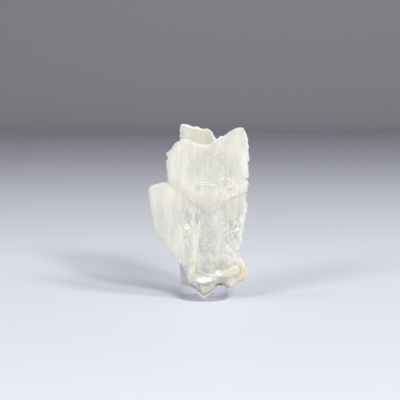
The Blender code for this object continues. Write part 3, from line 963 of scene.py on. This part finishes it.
leaves = [v_leaf(i, *row) for i, row in enumerate(V_LEAVES)]
print("leaves", [len(made.data.polygons) for made in leaves], "faces")

# %% [markdown]
# The joined stone takes the place of the plain solid. It is made upright, as its outlines are
# drawn, and leans back on the rest only at the end.

# %% The stone in its place
def dress(thing, finish):
    """Gives every face of the thing one finish."""
    for face in thing.data.polygons:
        face.material_index = 0
    thing.data.materials.clear()
    thing.data.materials.append(finish)


def mark_faces(thing):
    """Turns the four bare materials into the marks "rim" and "stained"."""
    kinds = [material.name for material in thing.data.materials]
    places = [kinds[face.material_index] for face in thing.data.polygons]
    for mark, names in (("rim", ("rim", "back_rim")), ("stained", ("back_face", "back_rim"))):
        values = thing.data.attributes.new(mark, "FLOAT", "FACE").data
        values.foreach_set("value", [float(place in names) for place in places])


stone = joined("stone", plates + leaves)
mark_faces(stone)
dress(stone, SELENITE)
stone.data.transform(Matrix.Translation((0.0, SEAT_Y, 0.0)) @ Matrix.Rotation(-LEAN, 4, "X"))
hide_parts("selenite_blade")
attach(stone, "root")
print("stone", len(stone.data.polygons), "faces")

# %% [markdown]
# ## The stand
# A stub of clear acrylic rod, cut down in front to a low shelf with a V-groove for the stone's tip.
# What is left behind the stone is its back rest, and leans as the stone does. Sawn acrylic is
# polished, and its edges are broken just enough not to cut. Two cuts shape the rod, as in a workshop.

# %% Shape of the stand, in millimetres
ROD_RADIUS, ROD_HEIGHT, ROD_SIDES = 12.7, 17.6, 160
SHELF, GROOVE_BOTTOM, GROOVE_HALF = 7.2, 1.5, 6.95
REST_DEPTH = 5.8
RELIEF = 0.6
BROKEN_FOOT, BROKEN_EDGE, EDGE_STEPS = 0.4, 0.22, 3
# How far the cutters reach above the rod and above the shelf.
OVER_ROD, OVER_SHELF = 10.0, 0.5
BROKEN_FROM, SHARP_FROM = math.radians(30), math.radians(32)


def cut_away(thing, cutter):
    shape_by(thing, "BOOLEAN", {"operation": "DIFFERENCE", "solver": "MANIFOLD", "object": cutter})
    discard(cutter)


def rest_y(z):
    """How far back the sloping face of the rest is at height z."""
    up = (z + REST_DEPTH * math.sin(LEAN)) / math.cos(LEAN)
    return SEAT_Y / MM + REST_DEPTH * math.cos(LEAN) + up * math.sin(LEAN)


WALL = [(ROD_RADIUS - BROKEN_FOOT, 0.0), (ROD_RADIUS, BROKEN_FOOT), (ROD_RADIUS, ROD_HEIGHT)]
turns = [2 * math.pi * step / ROD_SIDES for step in range(ROD_SIDES)]
stand = through_rings("stand", [
    [(r * math.cos(t), r * math.sin(t), z) for t in turns] for r, z in WALL])
out, top = 2 * ROD_RADIUS, ROD_HEIGHT + OVER_ROD
cut_away(stand, through_rings("step", [
    [(x, -out, SHELF), (x, rest_y(SHELF), SHELF), (x, rest_y(top), top), (x, -out, top)]
    for x in (-out, out)]))
wider = 1.0 + OVER_SHELF / (SHELF - GROOVE_BOTTOM)
cut_away(stand, through_rings("groove", [
    [(0.0, y, GROOVE_BOTTOM)] + [(side * GROOVE_HALF * wider, y, SHELF + OVER_SHELF) for side in (1, -1)]
    for y in (-out, rest_y(SHELF) + RELIEF)]))
shape_by(stand, "BEVEL", {
    "width": BROKEN_EDGE * MM, "segments": EDGE_STEPS, "harden_normals": False,
    "limit_method": "ANGLE", "angle_limit": BROKEN_FROM})
stand.data.shade_smooth()
stand.data.set_sharp_from_angle(angle=SHARP_FROM)
print("stand", len(stand.data.polygons), "faces")

# %% [markdown]
# ### Clear acrylic
# Acrylic is as clear as glass and bends light a little less. The rod's own skin is glossy, but what
# was sawn stays a little frosted, most of all underneath. A face nearer to the rod's axis than the
# skin is sawn, and gets a mark by which the finish mixes in a matt shader.

# %% Acrylic finish
ACRYLIC_IOR, ACRYLIC_CLEAR = 1.49, 0.85
GLOSS, SAWN_ROUGHER, FROST_ROUGH, FROST_SHARE = 0.015, 0.2, 0.5, 0.35
ACRYLIC, FROST, ACRYLIC_SOAKED = (0.94, 0.945, 1.0, 1), (0.95, 0.955, 0.99, 1), (0.86, 0.87, 0.97, 1)
ACRYLIC_DENSITY = 10.0
SKIN = 0.25


def clear_acrylic():
    made = bare_material("acrylic")
    tree = Tree(made.node_tree)
    sawn = tree.mark("sawn")
    clear = tree.node("ShaderNodeBsdfPrincipled", {}, {
        "Base Color": ACRYLIC, "IOR": ACRYLIC_IOR, "Transmission Weight": ACRYLIC_CLEAR,
        "Roughness": GLOSS + sawn * SAWN_ROUGHER})
    frosted = tree.node("ShaderNodeBsdfPrincipled", {}, {
        "Base Color": FROST, "IOR": ACRYLIC_IOR, "Roughness": FROST_ROUGH, "Transmission Weight": 0.0})
    both = tree.node("ShaderNodeMixShader", {}, {0: sawn * FROST_SHARE, 1: clear, 2: frosted})
    wear(tree, both, ACRYLIC_SOAKED, ACRYLIC_DENSITY)
    return made


def how_sawn(face):
    """0 on the rod's skin and 1 on a sawn face, rising to 2 where it looks down."""
    from_axis = math.hypot(face.center.x, face.center.y) / MM
    return float(from_axis < ROD_RADIUS - SKIN) * (1 + max(0.0, -face.normal.z))


sawn_by_face = [how_sawn(face) for face in stand.data.polygons]
stand.data.attributes.new("sawn", "FLOAT", "FACE").data.foreach_set("value", sawn_by_face)
dress(stand, clear_acrylic())
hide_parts("acrylic_stand")
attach(stand, "root")
print("sawn faces", sum(map(bool, sawn_by_face)))

# %% [markdown]
# ## The floor
# What lies behind a clear stone is much of what is seen in it: here a roll of pale paper, turned up
# far behind. A ramp paints the falloff of light into the paper's colour: it is painted brightest just
# behind the stand and dimmer further back, in place of lights that fade.

# %% Floor
# Metres: where the paper starts in front, where it turns up behind, and how high and wide it is.
SWEEP_FRONT, SWEEP_START, SWEEP_RADIUS, SWEEP_TOP, SWEEP_HALF = -1.6, 1.3, 0.25, 1.4, 2.2
SWEEP_STEPS = 16
UNDER = 0.1 * MM
PAPER_ROUGH, PAPER_SHINE = 0.6, 0.2
PAPER = (0.817, 0.838, 0.90)
# Metres behind the stand, and how bright the paper is painted there, as a painted falloff of light. Green
# fades a little with distance.
PAINTED_FALLOFF_STOPS = [
    (-0.20, 0.885), (-0.10, 0.915), (0, 0.97), (0.13, 1.05), (0.32, 1.035), (0.45, 1.01), (0.61, 0.92),
    (0.83, 0.775), (1.34, 0.55), (1.55, 0.44),
]
NEAREST, REACH_BACK = -0.2, 1.8
GREEN_LOST = 0.02


def paper_with_painted_falloff():
    made = bare_material("paper")
    tree = Tree(made.node_tree)
    back = tree.node("ShaderNodeTexCoord", output="Object").parts()[1]
    # Painted falloff of light: the paper's colour is brighter near the stand and dimmer far behind.
    ramp = tree.add("ShaderNodeValToRGB", {}, {0: (back - NEAREST) / REACH_BACK})
    stops = ramp.color_ramp.elements
    stops.remove(stops[1])
    red, green, blue = PAPER
    for index, (metres, share) in enumerate(PAINTED_FALLOFF_STOPS):
        stop = stops[0] if index == 0 else stops.new(1.0)
        stop.position = (metres - NEAREST) / REACH_BACK
        stop.color = (red * share, green * share * (1 - GREEN_LOST * metres), blue * share, 1)
    wear(tree, tree.node("ShaderNodeBsdfPrincipled", {}, {
        "Base Color": Wire(tree, ramp.outputs["Color"]), "Roughness": PAPER_ROUGH,
        "Specular IOR Level": PAPER_SHINE}))
    return made


profile = [(SWEEP_FRONT, -UNDER), (SWEEP_START, -UNDER)]
for step in range(1, SWEEP_STEPS + 1):
    a = math.pi / 2 * step / SWEEP_STEPS
    profile.append((SWEEP_START + SWEEP_RADIUS * math.sin(a), SWEEP_RADIUS * (1 - math.cos(a)) - UNDER))
profile.append((SWEEP_START + SWEEP_RADIUS, SWEEP_TOP))
floor = through_rings(
    "floor_sweep", [[(x, y, z) for y, z in profile] for x in (-SWEEP_HALF, SWEEP_HALF)],
    capped=False, unit=1.0)
floor.data.shade_smooth()
floor.data.materials.append(paper_with_painted_falloff())
print("floor", len(floor.data.polygons), "faces")

# %% [markdown]
# ## The lights
# Soft round lights stand on an arc in front, so that the flat faces glow and the shadows fall back,
# with one more overhead and a weak even light from all round.

# %% Lights
LIGHT_TARGET = Vector((0, 0, 0.03))


def softbox(name, azimuth, elevation, distance, size, power):
    """A round light. Azimuth is in degrees from the camera's side, to the right."""
    turn, rise = math.radians(azimuth), math.radians(elevation)
    way = Vector((math.sin(turn) * math.cos(rise), -math.cos(turn) * math.cos(rise), math.sin(rise)))
    light = bpy.data.lights.new(name, "AREA")
    light.shape = "DISK"
    light.size = size
    light.energy = power
    made = bpy.data.objects.new(name, light)
    made.location = LIGHT_TARGET + way * distance
    made.rotation_mode = "QUATERNION"
    made.rotation_quaternion = way.to_track_quat("Z", "Y")
    scene.collection.objects.link(made)


# Azimuth, elevation (degrees), distance, size (m), power (W).
LIGHTS = {
    "overhead": (180, 76, 1.35, 1.2, 1.5),
    "above_left": (-80, 60, 1.3, 0.3, 1.2),
    "key": (28, 27.5, 1.7, 0.26, 13.4),
    "front": (15, 29, 1.7, 0.26, 5.4),
    "side_right": (50, 42, 1.3, 0.36, 5.6),
    "side_left": (-40.3, 28.4, 1.1, 0.40, 4.8),
}
for light_name, row in LIGHTS.items():
    softbox(light_name, *row)
print(len(LIGHTS), "lights")

# %% Even light and bounces
AROUND, AROUND_STRENGTH = (0.75, 0.77, 0.82, 1), 0.175

world = bpy.data.worlds.new("world")
world.use_nodes = True
even = world.node_tree.nodes["Background"].inputs
even["Color"].default_value = AROUND
even["Strength"].default_value = AROUND_STRENGTH
scene.world = world

# Light is caught inside clear acrylic by many reflections before it leaves.
paths = scene.cycles
paths.max_bounces, paths.glossy_bounces, paths.transmission_bounces = 32, 24, 24
paths.diffuse_bounces = 6
